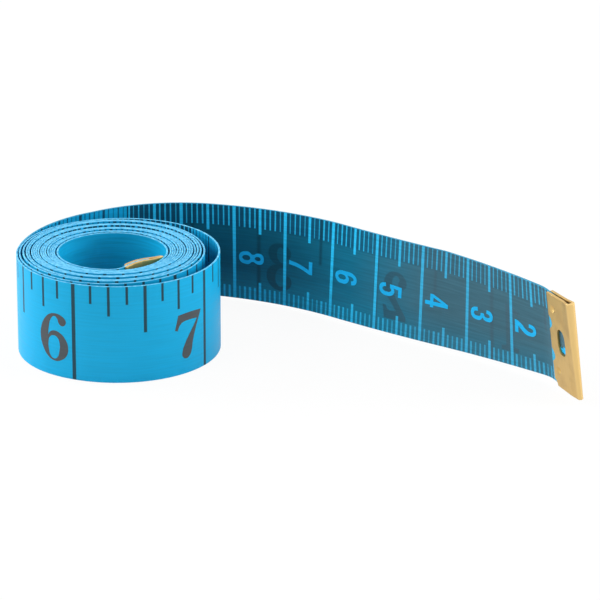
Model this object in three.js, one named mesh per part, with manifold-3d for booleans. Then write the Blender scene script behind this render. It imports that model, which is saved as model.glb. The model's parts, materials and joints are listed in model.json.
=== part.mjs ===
// Cloth tape measure, partly rolled up. A coated glass-fibre tape stands on its lower edge: a coil of
// turns round an open eye, whose outermost turn is loose, and a tail that runs off to the zero end.
// A folded brass tab grips each end of the tape. The tape is one ribbon; it is cut into lengths where
// it flexes, and each length hinges on the one before about the tape's own width.
//
// Millimetres and degrees, +Z up. The tail runs off to +X, and its centimetre face is read from -Y.
// The origin is on the resting plane, under the middle of the whole object's box.

import * as THREE from 'three';
import { mergeVertices } from 'three/addons/utils/BufferGeometryUtils.js';
import Module from 'manifold-3d';

// The tape
const TAPE_WIDTH = 18;
const TAPE_THICKNESS = 0.35;
const FLEX_GAP = 0.3;         // clear space where one length of tape hinges on the next
const TAPE_COLOUR = 0x1f9fd2;
const TAPE_ROUGHNESS = 0.5;

// The coil, wound counter-clockwise from the tail to the inner end
const EYE_RADIUS = 9.3;       // to the inner face of the innermost turn, where it ends
const COIL_TURNS = 9.28;
const TURN_GAP = 0.43;        // clear space between neighbouring turns
const LEAVE_ANGLE = 177.4;    // where the tail leaves the coil, counter-clockwise from +X
const SLACK = 2.6;            // how far the outermost turn stands off at its loosest place
const SLACK_MIDDLE = 186;     // winding angle from the tail to that place
const SLACK_REACH = 115;      // winding angle over which the slack fades out, each way
const STEPS_PER_TURN = 48;

// The tail, from the coil outwards. Each length bends evenly, positive to the left, and leans at its
// outer end, positive with its upper edge to the left.
const FLEX_SPACING = 24;      // along the tape, from one hinge of the tail to the next
const TAIL = [
  { bend: -56.7, lean: 0 },
  { bend: -48.0, lean: -2.2 },
  { bend: -22.5, lean: 4.3 },
  { bend: 4.6, lean: 3.8 },
  { bend: -6.6, lean: -8.8 },
];
const STEPS_PER_LENGTH = 12;

// The two ends, where the tape bends sharply at its stiff tab
const ZERO_BEND = -19.4;
const BARE_END = 1.6;         // tape that shows between the last hinge and the tab
const WALL_GAP = 0.4;         // between the inner tab's fold and the turn that it leans on

// The brass tabs: a sheet folded over the end of the tape, with a window in the centimetre-side leaf
const TAB_LENGTH = 8.2;
const TAB_FLARE = 0.45;       // how far the sheet stands past each edge of the tape at the fold
const TAB_SHEET = 0.4;
const TAB_CLEARANCE = 0.2;    // between the tape and the sheet
const WINDOW_WIDTH = 2.7;
const WINDOW_HEIGHT = 5.3;
const WINDOW_SETBACK = 3.6;   // from the open edge to the middle of the window
const FOLD_SEGMENTS = 8;
const WINDOW_SEGMENTS = 12;
const BRASS_COLOUR = 0xd8b468;
const BRASS_ROUGHNESS = 0.32;

// Sizes that follow
const PITCH = TAPE_THICKNESS + TURN_GAP;
const WINDING = COIL_TURNS * 360;
const OUTER_RADIUS = EYE_RADIUS + TAPE_THICKNESS / 2 + COIL_TURNS * PITCH;
const TAIL_LENGTH = TAIL.length * FLEX_SPACING;
const TAB_INSIDE = TAPE_THICKNESS / 2 + TAB_CLEARANCE;
const TAB_OUTSIDE = TAB_INSIDE + TAB_SHEET;
const TAB_SLOT = TAB_LENGTH - TAB_SHEET - TAB_CLEARANCE;
const FOLD_START = TAB_LENGTH - TAB_OUTSIDE;

const UP = new THREE.Vector3(0, 0, 1);
const radians = THREE.MathUtils.degToRad;
const wasm = await Module();
wasm.setup();

// A station is a place on the tape: the middle of its section, the way it runs, its width direction
// and its left-hand face's direction. The tape's lower edge passes through (x, y, height).
function station(x, y, heading, lean = 0, height = 0) {
  const along = new THREE.Vector3(Math.cos(heading), Math.sin(heading), 0);
  const left = new THREE.Vector3().crossVectors(UP, along);
  const across = UP.clone().multiplyScalar(Math.cos(lean)).addScaledVector(left, Math.sin(lean));
  const side = new THREE.Vector3().crossVectors(across, along);
  const middle = new THREE.Vector3(x, y, height).addScaledVector(across, TAPE_WIDTH / 2);
  return { middle, along, across, side };
}

function headingOf({ along }) {
  return Math.atan2(along.y, along.x);
}

// The station a distance further on, straight ahead after a bend about the tape's width.
function ahead(from, distance, bend = 0) {
  const turn = new THREE.Quaternion().setFromAxisAngle(from.across, bend);
  const along = from.along.clone().applyQuaternion(turn);
  const side = from.side.clone().applyQuaternion(turn);
  const middle = from.middle.clone().addScaledVector(along, distance);
  return { middle, along, across: from.across.clone(), side };
}

// The coil's station at a winding angle from the tail: an even spiral, with slack in its first turn.
function coilStation(winding) {
  const angle = radians(LEAVE_ANGLE + winding);
  const reach = (winding - SLACK_MIDDLE) / SLACK_REACH;
  const loose = Math.abs(reach) < 1 ? SLACK : 0;
  const slack = loose * Math.cos(reach * Math.PI / 2) ** 2;
  const slackSlope = -loose * Math.sin(reach * Math.PI) * Math.PI / (2 * radians(SLACK_REACH));
  const radius = OUTER_RADIUS - PITCH * winding / 360 + slack;
  const radiusSlope = -PITCH / (2 * Math.PI) + slackSlope;
  const heading = angle + Math.PI / 2 - Math.atan2(radiusSlope, radius);
  return station(radius * Math.cos(angle), radius * Math.sin(angle), heading);
}

// The tail's arcs, each starting where the one before it ends. The lower edge climbs evenly by rise.
function tailArcs(rise) {
  const start = coilStation(0);
  const arcs = [];
  let { x, y } = start.middle;
  let heading = headingOf(start) - Math.PI;
  let lean = 0;
  let done = 0;
  for (const piece of TAIL) {
    const bend = radians(piece.bend);
    const leans = [lean, radians(piece.lean)];
    const arc = { x, y, heading, done, bend, leans, rise };
    arcs.push(arc);
    ({ x, y } = arcPlace(arc, FLEX_SPACING));
    heading += bend;
    lean = leans[1];
    done += FLEX_SPACING;
  }
  return arcs;
}

// The plan position a distance along an arc, by the chord to it.
function arcPlace(arc, distance) {
  const half = arc.bend * distance / FLEX_SPACING / 2;
  const chord = half === 0 ? distance : distance * Math.sin(half) / half;
  const x = arc.x + chord * Math.cos(arc.heading + half);
  const y = arc.y + chord * Math.sin(arc.heading + half);
  return { x, y };
}

function arcStation(arc, distance) {
  const share = distance / FLEX_SPACING;
  const { x, y } = arcPlace(arc, distance);
  const lean = THREE.MathUtils.lerp(arc.leans[0], arc.leans[1], share);
  const height = arc.rise * (arc.done + distance) / TAIL_LENGTH;
  return station(x, y, arc.heading + arc.bend * share, lean, height);
}

// A closed ribbon of the tape's section through a row of stations.
function ribbon(stations) {
  const positions = [];
  const index = [];
  const corners = [[-1, -1], [1, -1], [1, 1], [-1, 1]];
  for (const { middle, across, side } of stations) {
    for (const [left, upper] of corners) {
      const corner = middle.clone()
        .addScaledVector(side, left * TAPE_THICKNESS / 2)
        .addScaledVector(across, upper * TAPE_WIDTH / 2);
      positions.push(corner.x, corner.y, corner.z);
    }
  }
  const count = corners.length;
  for (let step = 0; step < stations.length - 1; step += 1) {
    for (let corner = 0; corner < count; corner += 1) {
      const a = step * count + corner;
      const b = step * count + (corner + 1) % count;
      index.push(a, b, b + count, a, b + count, a + count);
    }
  }
  const last = (stations.length - 1) * count;
  index.push(0, 3, 2, 0, 2, 1);
  index.push(last, last + 1, last + 2, last, last + 2, last + 3);
  const geometry = new THREE.BufferGeometry();
  geometry.setAttribute('position', new THREE.Float32BufferAttribute(positions, 3));
  geometry.setIndex(index);
  geometry.computeVertexNormals();
  return geometry;
}

function spread(from, to, steps) {
  return Array.from({ length: steps + 1 }, (_, step) => from + (to - from) * step / steps);
}

function toSolid(geometry) {
  const bare = geometry.clone();
  bare.deleteAttribute('normal');
  bare.deleteAttribute('uv');
  const merged = mergeVertices(bare);
  const vertProperties = new Float32Array(merged.attributes.position.array);
  const triVerts = new Uint32Array(merged.index.array);
  return new wasm.Manifold(new wasm.Mesh({ numProp: 3, vertProperties, triVerts }));
}

function toGeometry(solid) {
  const { vertProperties, triVerts } = solid.getMesh();
  const geometry = new THREE.BufferGeometry();
  geometry.setAttribute('position', new THREE.Float32BufferAttribute(vertProperties, 3));
  geometry.setIndex(Array.from(triVerts));
  geometry.computeVertexNormals();
  return geometry;
}

// A tab in its own frame: X from the open edge to the fold, Z along the width of the tape, and the
// window in the leaf on the -Y side. The sheet flares a little towards the fold.
function tabGeometry() {
  const quarter = Math.PI / 2;
  const sheet = new THREE.Shape();
  sheet.moveTo(0, -TAB_OUTSIDE);
  sheet.lineTo(FOLD_START, -TAB_OUTSIDE);
  sheet.absarc(FOLD_START, 0, TAB_OUTSIDE, -quarter, quarter, false);
  sheet.lineTo(0, TAB_OUTSIDE);
  sheet.lineTo(0, TAB_INSIDE);
  sheet.lineTo(FOLD_START, TAB_INSIDE);
  sheet.absarc(FOLD_START, 0, TAB_INSIDE, quarter, -quarter, true);
  sheet.lineTo(0, -TAB_INSIDE);
  sheet.closePath();
  const folded = new THREE.ExtrudeGeometry(sheet, {
    depth: 1, bevelEnabled: false, curveSegments: FOLD_SEGMENTS,
  });
  folded.translate(0, 0, -0.5);
  const places = folded.attributes.position;
  for (let i = 0; i < places.count; i += 1) {
    const share = places.getX(i) / TAB_LENGTH;
    places.setZ(i, places.getZ(i) * (TAPE_WIDTH + 2 * TAB_FLARE * share));
  }

  const opening = new THREE.Shape();
  opening.absellipse(WINDOW_SETBACK, 0, WINDOW_WIDTH / 2, WINDOW_HEIGHT / 2, 0, 2 * Math.PI);
  const punch = new THREE.ExtrudeGeometry(opening, {
    depth: 2 * TAB_OUTSIDE, bevelEnabled: false, curveSegments: WINDOW_SEGMENTS,
  });
  punch.rotateX(quarter);
  return toGeometry(toSolid(folded).subtract(toSolid(punch)));
}

function tapeMesh(name, geometry) {
  const material = new THREE.MeshStandardMaterial({
    color: TAPE_COLOUR, roughness: TAPE_ROUGHNESS, metalness: 0,
  });
  const mesh = new THREE.Mesh(geometry, material);
  mesh.name = name;
  return mesh;
}

// A tab on the tape, its open edge at a station that faces the tape's end. windowSide is -1 where the
// centimetre face is the tape's right-hand face there, and 1 where it is the left-hand one.
function tabMesh(name, open, windowSide) {
  const material = new THREE.MeshStandardMaterial({
    color: BRASS_COLOUR, roughness: BRASS_ROUGHNESS, metalness: 1,
  });
  const mesh = new THREE.Mesh(tabGeometry(), material);
  const thick = open.side.clone().multiplyScalar(-windowSide);
  const high = open.across.clone().multiplyScalar(-windowSide);
  const turned = new THREE.Matrix4().makeBasis(open.along, thick, high);
  mesh.quaternion.setFromRotationMatrix(turned);
  mesh.position.copy(open.middle);
  mesh.name = name;
  return mesh;
}

// One end of the tape beyond its last hinge: the bare strip, its hidden end and its tab.
function tapeEnd(stripName, tabName, hinge, bend, windowSide) {
  const start = ahead(hinge, FLEX_GAP / 2, radians(bend));
  const open = ahead(hinge, BARE_END, radians(bend));
  const strip = tapeMesh(stripName, ribbon([start, open, ahead(open, TAB_SLOT)]));
  return [strip, tabMesh(tabName, open, windowSide)];
}

function zeroHinge(arcs) {
  return arcStation(arcs[arcs.length - 1], FLEX_SPACING);
}

// The bend that lays the inner tab along the eye's wall as a chord, its fold clear of the next turn.
function innerBend() {
  const hingeRadius = EYE_RADIUS + TAPE_THICKNESS / 2;
  const reach = Math.hypot(BARE_END + FOLD_START, TAB_OUTSIDE);
  const splay = Math.atan2(TAB_OUTSIDE, BARE_END + FOLD_START);
  const spanned = 2 * Math.asin(reach / 2 / hingeRadius) / (2 * Math.PI);
  const foldRadius = EYE_RADIUS + PITCH * (1 - spanned) - WALL_GAP;
  const inwards = (hingeRadius ** 2 + reach ** 2 - foldRadius ** 2) / (2 * hingeRadius * reach);
  return THREE.MathUtils.radToDeg(splay + Math.asin(inwards));
}

// The zero tab reaches below the tape, so the tail climbs to it by as much.
function tailRise() {
  const open = ahead(zeroHinge(tailArcs(0)), BARE_END, radians(ZERO_BEND));
  return -new THREE.Box3().setFromObject(tabMesh('level', open, -1), true).min.z;
}

// The least clear space between two stretches of the tape at least half a turn apart, measured from
// station to station along the tape's lower edge and along its upper edge.
function leastGap(stations) {
  const apart = STEPS_PER_TURN / 2;
  let least = Infinity;
  for (const edge of [-TAPE_WIDTH / 2, TAPE_WIDTH / 2]) {
    const points = stations.map(({ middle, across }) => middle.clone().addScaledVector(across, edge));
    for (let i = 0; i < points.length; i += 1) {
      for (let j = i + apart; j < points.length; j += 1) {
        least = Math.min(least, points[i].distanceTo(points[j]));
      }
    }
  }
  return least - TAPE_THICKNESS;
}

const arcs = tailArcs(tailRise());
const coilEnd = coilStation(WINDING);
const innerHinge = station(coilEnd.middle.x, coilEnd.middle.y, headingOf(coilEnd), 0, TAB_FLARE);
const gapAngle = (radius) => THREE.MathUtils.radToDeg(FLEX_GAP / 2 / radius);
const coilSteps = Math.round(COIL_TURNS * STEPS_PER_TURN);
const coilFrom = gapAngle(OUTER_RADIUS);
const coilTo = WINDING - gapAngle(EYE_RADIUS);
const coilStations = spread(coilFrom, coilTo, coilSteps).map(coilStation);
const tailSteps = spread(FLEX_GAP / 2, FLEX_SPACING - FLEX_GAP / 2, STEPS_PER_LENGTH);
const tailStations = arcs.map((arc) => tailSteps.map((distance) => arcStation(arc, distance)));

const assembly = new THREE.Group();
assembly.add(tapeMesh('tape_coil', ribbon(coilStations)));
tailStations.forEach((stations, i) => {
  assembly.add(tapeMesh(`tape_tail_${i + 1}`, ribbon(stations)));
});
assembly.add(...tapeEnd('tape_zero_end', 'zero_tab', zeroHinge(arcs), ZERO_BEND, -1));
assembly.add(...tapeEnd('tape_inner_end', 'inner_tab', innerHinge, innerBend(), 1));

// Stand the assembly on the origin.
const box = new THREE.Box3().setFromObject(assembly, true);
const middle = box.getCenter(new THREE.Vector3());
assembly.position.set(-middle.x, -middle.y, -box.min.z);

// What the tape clears itself by, and where it flexes.
const wound = [...tailStations.flat().reverse(), ...coilStations];
console.log(`least gap of the tape to itself: ${leastGap(wound).toFixed(3)} mm`);
const hinges = [...arcs.map((arc) => arcStation(arc, 0)), zeroHinge(arcs), innerHinge];
hinges.forEach(({ middle: place, across }, i) => {
  const at = place.clone().add(assembly.position).toArray().map((value) => value.toFixed(3));
  const axis = across.toArray().map((value) => value.toFixed(5));
  console.log(`hinge ${i + 1}: at ${at.join(', ')} mm, axis ${axis.join(', ')}`);
});

export default assembly;
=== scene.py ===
"""Cloth tape measure, partly rolled up: the looks of the printed tape and its two brass tabs.

The tape is made as a real one is. A flat strip is cut and printed, with its figures, and then rolled along
its route. In the flat, X is the scale reading from the zero end, Y the height across the tape from its
lower edge, and Z points out of the inch face. Every length is in metres.
"""

import bisect
import json
import math

import bmesh
import bpy
from bpy.props import FloatProperty, FloatVectorProperty, IntProperty, PointerProperty
from mathutils import Matrix, Vector


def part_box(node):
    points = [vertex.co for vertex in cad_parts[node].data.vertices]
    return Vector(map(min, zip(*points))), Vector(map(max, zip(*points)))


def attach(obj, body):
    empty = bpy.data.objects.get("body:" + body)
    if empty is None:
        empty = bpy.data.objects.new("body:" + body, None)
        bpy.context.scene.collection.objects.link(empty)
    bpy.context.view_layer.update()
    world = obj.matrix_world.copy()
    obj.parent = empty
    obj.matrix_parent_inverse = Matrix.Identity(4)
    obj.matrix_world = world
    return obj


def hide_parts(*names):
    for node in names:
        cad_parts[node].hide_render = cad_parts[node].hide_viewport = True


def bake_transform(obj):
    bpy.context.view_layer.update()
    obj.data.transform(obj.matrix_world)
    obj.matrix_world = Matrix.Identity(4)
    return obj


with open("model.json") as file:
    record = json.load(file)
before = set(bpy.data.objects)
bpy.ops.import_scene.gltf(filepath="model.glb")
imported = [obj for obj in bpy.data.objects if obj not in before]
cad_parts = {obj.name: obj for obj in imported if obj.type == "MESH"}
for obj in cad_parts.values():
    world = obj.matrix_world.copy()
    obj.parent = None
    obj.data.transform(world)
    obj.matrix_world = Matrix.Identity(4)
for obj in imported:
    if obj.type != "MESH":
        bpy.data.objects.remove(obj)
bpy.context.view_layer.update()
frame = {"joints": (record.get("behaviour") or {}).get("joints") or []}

bl_info = {
    "name": "Cloth Tape Measure",
    "version": (1, 0, 0),
    "blender": (4, 5, 0),
    "location": "View3D > Sidebar > Tape Measure",
    "description": "A rolled dressmaker's tape with two printed scales and two brass tabs",
    "category": "Add Mesh",
}

MM = 0.001
INCH = 25.4 * MM
CENTIMETRE = 10 * MM
DECIMETRE = 100 * MM

# A length too short to count, the decimals by which places are matched, and how upright the normal of a flat
# face is
TINY = 1e-9
DECIMALS = 8
FLAT = 0.999

# What the frame fixes: the hinges, the tape's width and the nodes that the pieces stand for
JOINT = {joint["name"]: joint for joint in frame["joints"]}
HINGE = {name: Vector(joint["pos_m"]) for name, joint in JOINT.items()}
TAIL_JOINTS = [f"tail_flex_{number}" for number in range(1, 6)] + ["zero_end_flex"]
TAIL_NODES = [f"tape_tail_{number}" for number in range(1, 6)] + ["tape_zero_end"]
TAPE_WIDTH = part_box("tape_coil")[1].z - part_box("tape_coil")[0].z

# The route. The coil's outer radius and the tail's heading, bends and spacing are those of the solids, and
# its leans are near theirs. Bends and leans are in degrees, from the coil outwards.
OUTER_RADIUS = 16.713 * MM
LEAVE_ANGLE = math.radians(177.4)
TAIL_HEADING = math.radians(87.826)
TAIL_BENDS = (-56.7, -48.0, -22.5, 4.6, -6.6)
TAIL_LEANS = (0, -4.1, -1.8, 2.5, 1.4, -9.8)
FLEX_SPACING = 24 * MM
# The two ends: the sharp bend at each hinge and how far on both sides it is eased, the bare tape from the
# hinge to the tab, and the length of the inner end with its tab and how far it droops
ZERO_BEND = math.radians(-20.2)
INNER_BEND = math.radians(33.9)
BEND_REACH = 1.4 * MM
BARE_END = 2.05 * MM
INNER_BARE_END = 1.7 * MM
INNER_LENGTH = 10.2 * MM
INNER_DROOP = 0.19 * MM
# The scale reading where the tail leaves the coil
LEAVE_READING = 131.4 * MM
LEAVE_WAY = Vector((math.cos(LEAVE_ANGLE), math.sin(LEAVE_ANGLE), 0))
COIL_CENTRE = HINGE["tail_flex_1"] - OUTER_RADIUS * LEAVE_WAY
COIL_CENTRE.z = 0

# How far the tail is out of square, as a share of its height, and the readings between which that grows
TAIL_SKEW = 0.02
SKEW_READINGS = (95 * MM, 45 * MM)

# How the coil was wound. Turns are counted from where the tail leaves it: here those to its front and to its
# back, and the places at which one is measured.
FRONT_TURN = 0.25
BACK_TURN = 0.75
TURN_SAMPLES = 240
# Where it was wound more loosely: the turn, the extra space and the turns over which that opens
LOOSE_TURNS = (
    (1.55, 0.18 * MM, 0.4),
    (2.5, 0.22 * MM, 0.4),
    (4.55, 0.20 * MM, 0.5),
    (8.4, 0.12 * MM, 0.6),
    (11.5, 0.10 * MM, 0.6),
    (15.62, 0.20 * MM, 0.35),
)
# Where a turn stands off from a true spiral: the turn, the turns that it takes before and after, and how far
STANDOFFS = (
    (186 / 360, 130 / 360, 108 / 360, 2.40 * MM),
    (15.68, 0.36, 0.36, -0.40 * MM),
)
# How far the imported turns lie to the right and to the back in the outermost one, the turns over which that
# grows, the turn from which it fades, and how long before the inner end it is gone
PACK_SHIFT = (0.20 * MM, -0.20 * MM)
PACK_GROWS = (0.6, 1.4)
PACK_FADES = 2
PACK_GONE = 0.8
# How far the eye is flattened at its front and back, how far its middle lies to the front, and the turn from
# which both grow
EYE_FLATTENING = 0.45 * MM
EYE_SHIFT = 0.35 * MM
FLATTENED_FROM = 1.2
# How far the upper edge of each turn stands up, at the front and at the back, in millimetres
FRONT_LIFTS = (0, 0.30, 0.62, 0.52, 0.42, 0.70, 0.60, 0.50, 0.42, 0.66, 0.56, 0.48, 0.44, 0.38, 0.28, 0.20,
               0.22)
BACK_LIFTS = (0, 0.12, 0.24, 0.34, 0.02, 0.10, 0.20, 0.32, 0, 0.08, 0.20, 0.30, 0, 0.10, 0.22, 0.32, 0)

# The lengths that the tape is made in: how finely, how far past the first and the inner hinge they end, the
# turn from which the coil is packed, how far on each side of a hinge a place near it and one far from it
# are taken, and its rounded edges
COIL_STEP = 0.7 * MM
TAIL_STEP = 0.5 * MM
FIRST_REACH = 6 * MM
INNER_REACH = 6 * MM
PACKED_FROM = 1.12
FLEX_REACH = 4.5 * MM
END_REACH = 1.7 * MM
EDGE_ROUND = 0.08 * MM

# The tabs, in shares: how far the zero tab is out of square with the tape, how much longer a tab is at its
# lower end than at its upper, how far into it the tape goes, and where along it a leaf starts to open
TAB_SKEW = 0.045
TAB_TAPER = 0.04
TAPE_IN_TAB = 0.69
OPENS_FROM = 0.7
# The grid that a tab's blank is cut from, and how its edges are rounded
TAB_CELL = 0.2 * MM
TAB_EDGE_ROUND = 0.07 * MM
TAB_EDGE_ANGLE = math.radians(50)
# The window: how square its oval is, and how near its rim, which is at 1, a point of the rim lies
WINDOW_SQUARENESS = 2.6
RIM_REACH = 1.5
# Nicks in the open edge: their height from the middle of the tape, half their width, and the number of their
# depths over which they fade. The last one rounds the lower corner.
NICKS = ((3.3 * MM, 1.35 * MM), (-3.1 * MM, 1.3 * MM), (-TAPE_WIDTH / 2, 1.2 * MM))
NICK_FADE = 3
# Pressed dimples: their distance from the open edge and their height from the middle of the tape
DIMPLES = ((1.85 * MM, 6.3 * MM), (1.95 * MM, -5.6 * MM))

# The print: the spacing of each row of marks, their width, and their reach from the upper and lower edges
CENTIMETRE_MARKS = (
    (1 * MM, 0.27 * MM, 3.9 * MM, 2.5 * MM),
    (5 * MM, 0.52 * MM, 5.0 * MM, 3.6 * MM),
    (10 * MM, 0.60 * MM, 20 * MM, 0),
)
INCH_MARKS = (
    (INCH / 8, 0.45 * MM, 3.4 * MM, 0),
    (INCH / 4, 0.48 * MM, 5.55 * MM, 0),
    (INCH / 2, 0.58 * MM, 8.75 * MM, 0),
    (INCH, 0.70 * MM, 20 * MM, 0),
)
# How soft the rims are, of what is printed and of what shows through the tape
MARK_SOFTNESS = 0.05 * MM
SHADOW_SOFTNESS = 0.2 * MM
# How far the inch print lies towards the zero end, as printed and as it shows through the tape
INCH_LEAD = 0.3 * MM
SHADOW_LEAD = 0.95 * MM
# A bare band next to the zero tab, and how long before the inner hinge the print stops
BARE_BAND = (8.5 * MM, 10.2 * MM)
BARE_BAND_TOP = 13.6 * MM
PRINT_STOP = 78 * MM
# The last inch figure on the outermost turn, and the thickness of the film of one that shows through, as a
# share of the ink's
LAST_INCH = 9
SHADOW_FILM = 1 / 3
# How unevenly the millimetre marks came out: shares of their width, shares of their strength with the chance
# below which it is less than the most, and how much wider they grow between two heights
MARK_WIDTHS = (0.7, 1.2)
MARK_STRENGTHS = (0.55, 0.85)
WEAK_CHANCE = 0.5
LOW_MARK_HEIGHTS = (5 * MM, 4 * MM)
LOW_MARK_WIDTH = 1.4

# How the printed ground is painted lighter and then grey towards the zero end, a painted sheen for the
# reflection of the white floor there: the readings between which that grows, the heights between which the
# lower band's painted bounce light from the floor grows and the upper margin begins, and the share of each.
# Where there are two shares, the second is for where the grey sheen is full.
LIGHT_SHEEN_READINGS = (72 * MM, 44 * MM)
GREY_SHEEN_READINGS = (56 * MM, 38 * MM)
BOUNCE_LIGHT_HEIGHTS = (6.5 * MM, 1.5 * MM)
MARGIN_HEIGHTS = (TAPE_WIDTH - 4.3 * MM, TAPE_WIDTH - 3.7 * MM)
LIGHT_SHEEN_SHARE = 0.9
BOUNCE_LIGHT_SHARES = (1, 0.4)
MARGIN_SHARES = (0.6, 0.15)
SHADOW_SHARE = 0.7
# The readings between which the print comes to run over the cut edge, and its share there
INKED_READINGS = (LEAVE_READING + 3 * MM, LEAVE_READING - 12 * MM)
INKED_SHARE = 0.65

# The grain of each finish, along the tape and across it, the values that most of a noise lies between, and
# how strongly the threads show in each print
THREAD_STREAK = (9 * MM, 0.34 * MM)
BROKEN_THREAD = (1.1 * MM, 2 * MM)
ROLLING_LINE = (0.12 * MM, 6 * MM)
DULL_PATCH = (3 * MM, 3 * MM)
NOISE_SPAN = (0.25, 0.75)
GROUND_STREAKS = 0.12
BLUE_STREAKS = 0.05
INK_STREAKS = 0.06
# The middle of the band along a tab's fold that is painted lighter, a painted highlight for the brighter
# reflection there, past the tab's length, and the distances over which it ends
FOLD_HIGHLIGHT_PAST = 0.2 * MM
FOLD_HIGHLIGHT_REACH = (1.0 * MM, 0.6 * MM)

# The stage: the camera, how white the floor looks, and the softboxes with their places and sizes
CAMERA_PLACE = (0.000355, -0.739457, 0.30022)
CAMERA_TILT = math.radians(68.526)
SENSOR_WIDTH = 36
FLOOR_SIZE = 3
FLOOR_WHITE = 0.93
WHITE = (1, 1, 1, 1)
SOFTBOXES = {
    "left": ((-0.60, -0.34, 0.34), 0.5),
    "back": ((-0.60, 0.28, 0.30), 0.5),
    "right": ((0.66, -0.04, 0.28), 0.5),
    "top": ((0.0, 0.10, 0.75), 0.6),
}

# The steps that a figure is cut into so that it can roll, the width below which a sliver is dissolved, and
# how near two points are merged on a body one unit high
FIGURE_STEP = 0.5 * MM
FIGURE_SLIVER = 0.002 * MM
FIGURE_MERGE = 1e-5
# The figures, drawn on a body 10 units high, and the step from one digit to the next. A third value makes a
# point a corner.
FIGURE_BODY = 10
FIGURE_ADVANCE = 5.9
SERIF_FIGURES = {
    "1": [[(0.9, 0, 1), (5.1, 0, 1), (5.1, 0.7, 1), (3.9, 0.95, 1), (3.9, 10, 1), (3.2, 10, 1),
           (0.8, 8.9, 1), (0.8, 8.2, 1), (2.1, 8.4, 1), (2.1, 0.95, 1), (0.9, 0.7, 1)]],
    "2": [[(0.3, 0, 1), (5.4, 0, 1), (5.8, 2.6, 1), (5.3, 2.6, 1), (4.6, 1.7), (2.5, 1.75, 1), (3.6, 3.3),
           (5.2, 5.2), (5.7, 7.3), (4.9, 9.3), (3, 10), (1.1, 9.3), (0.4, 7.8), (1.3, 6.7), (2.2, 7.5),
           (1.9, 8.6), (2.8, 9.35), (3.7, 8.7), (3.9, 7), (3.1, 4.9), (1.5, 2.5), (0.3, 0.9, 1)]],
    "3": [[(3, 10), (4.9, 9.3), (5.4, 7.7), (4.7, 6.2), (3.6, 5.5, 1), (5.2, 4.6), (5.8, 2.9), (4.9, 0.8),
           (2.8, 0), (0.9, 0.7), (0.3, 2.2), (1.2, 3.2), (2.1, 2.4), (1.9, 1.3), (2.8, 0.65), (3.8, 1.4),
           (4, 3), (3.3, 4.6), (1.9, 5.1, 1), (1.9, 5.7, 1), (3.2, 6.3), (3.7, 7.8), (3.4, 9), (2.7, 9.4),
           (2, 8.8), (2.1, 7.8), (1.3, 7), (0.5, 8), (1.2, 9.4)]],
    "4": [[(3.3, 10, 1), (4.6, 10, 1), (4.6, 3.5, 1), (5.9, 3.5, 1), (5.9, 2.3, 1), (4.6, 2.3, 1),
           (4.6, 0.9, 1), (5.5, 0.7, 1), (5.5, 0, 1), (1.9, 0, 1), (1.9, 0.7, 1), (2.9, 0.9, 1),
           (2.9, 2.3, 1), (0.1, 2.3, 1), (0.1, 3.2, 1)],
          [(1.1, 3.5, 1), (2.9, 7.6, 1), (2.9, 3.5, 1)]],
    "5": [[(0.8, 9.9, 1), (5.2, 9.9, 1), (4.8, 8.7), (3.9, 8.2, 1), (1.5, 8.2, 1), (1.5, 6.1, 1),
           (3, 6.6), (5.1, 5.7), (5.7, 3.3), (4.8, 0.9), (2.7, 0), (0.9, 0.7), (0.3, 2.1), (1.1, 3.1),
           (2, 2.4), (1.9, 1.3), (2.7, 0.65), (3.6, 1.4), (3.9, 3.3), (3.5, 5), (2.5, 5.6), (1.4, 5, 1),
           (0.8, 5, 1)]],
    "6": [[(3.9, 10), (5.2, 9.8), (6.2, 9.1), (6.35, 8.3), (5.55, 7.6), (4.65, 8.2), (4.45, 8.9),
           (3.7, 9.4), (2.8, 8.6), (2.25, 6.8), (2.05, 5.1, 1), (2.6, 5.9), (3.65, 6.35), (5.1, 6),
           (6.3, 4.8), (6.8, 3.2), (6.4, 1.5), (5.2, 0.4), (3.65, 0), (2, 0.6), (0.7, 2.2), (0, 4.5),
           (0.35, 6.8), (1.3, 8.5), (2.5, 9.6)],
          [(3.45, 5.3), (2.6, 4.9), (2.1, 3.8), (2.2, 2), (2.65, 0.8), (3.45, 0.4), (4.25, 0.8),
           (4.8, 2.3), (4.85, 4), (4.35, 5)]],
    "7": [[(0.8, 9.4, 1), (3.6, 9.55), (6.8, 9.3, 1), (6.05, 7.6), (5.05, 5.25), (4.35, 3), (4, 1.2),
           (3.4, 0.25), (2.6, 0), (1.8, 0.5), (1.75, 1.6), (2.45, 3.3), (3.75, 5.25), (5, 6.85),
           (5.6, 7.75, 1), (3.6, 7.95), (1.75, 7.75), (1.05, 7.15), (0.6, 6.15, 1), (0, 6.4, 1),
           (0.45, 8.05)]],
    "8": [[(3, 10), (4.9, 9.3), (5.4, 7.6), (4.3, 5.6), (5.7, 3.9), (5.8, 2.2), (4.8, 0.6), (3, 0),
           (1.1, 0.7), (0.2, 2.7), (1.6, 4.9), (0.8, 6.3), (0.6, 7.7), (1.3, 9.3)],
          [(3.1, 9.4), (2.3, 8.9), (2.2, 8), (2.8, 7), (3.7, 6.3), (4, 7.6), (3.8, 8.8)],
          [(2.4, 4.2), (1.7, 2.7), (2.1, 1.2), (3.1, 0.6), (4.1, 1.3), (4.1, 2.3), (3.4, 3.3)]],
}
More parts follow.
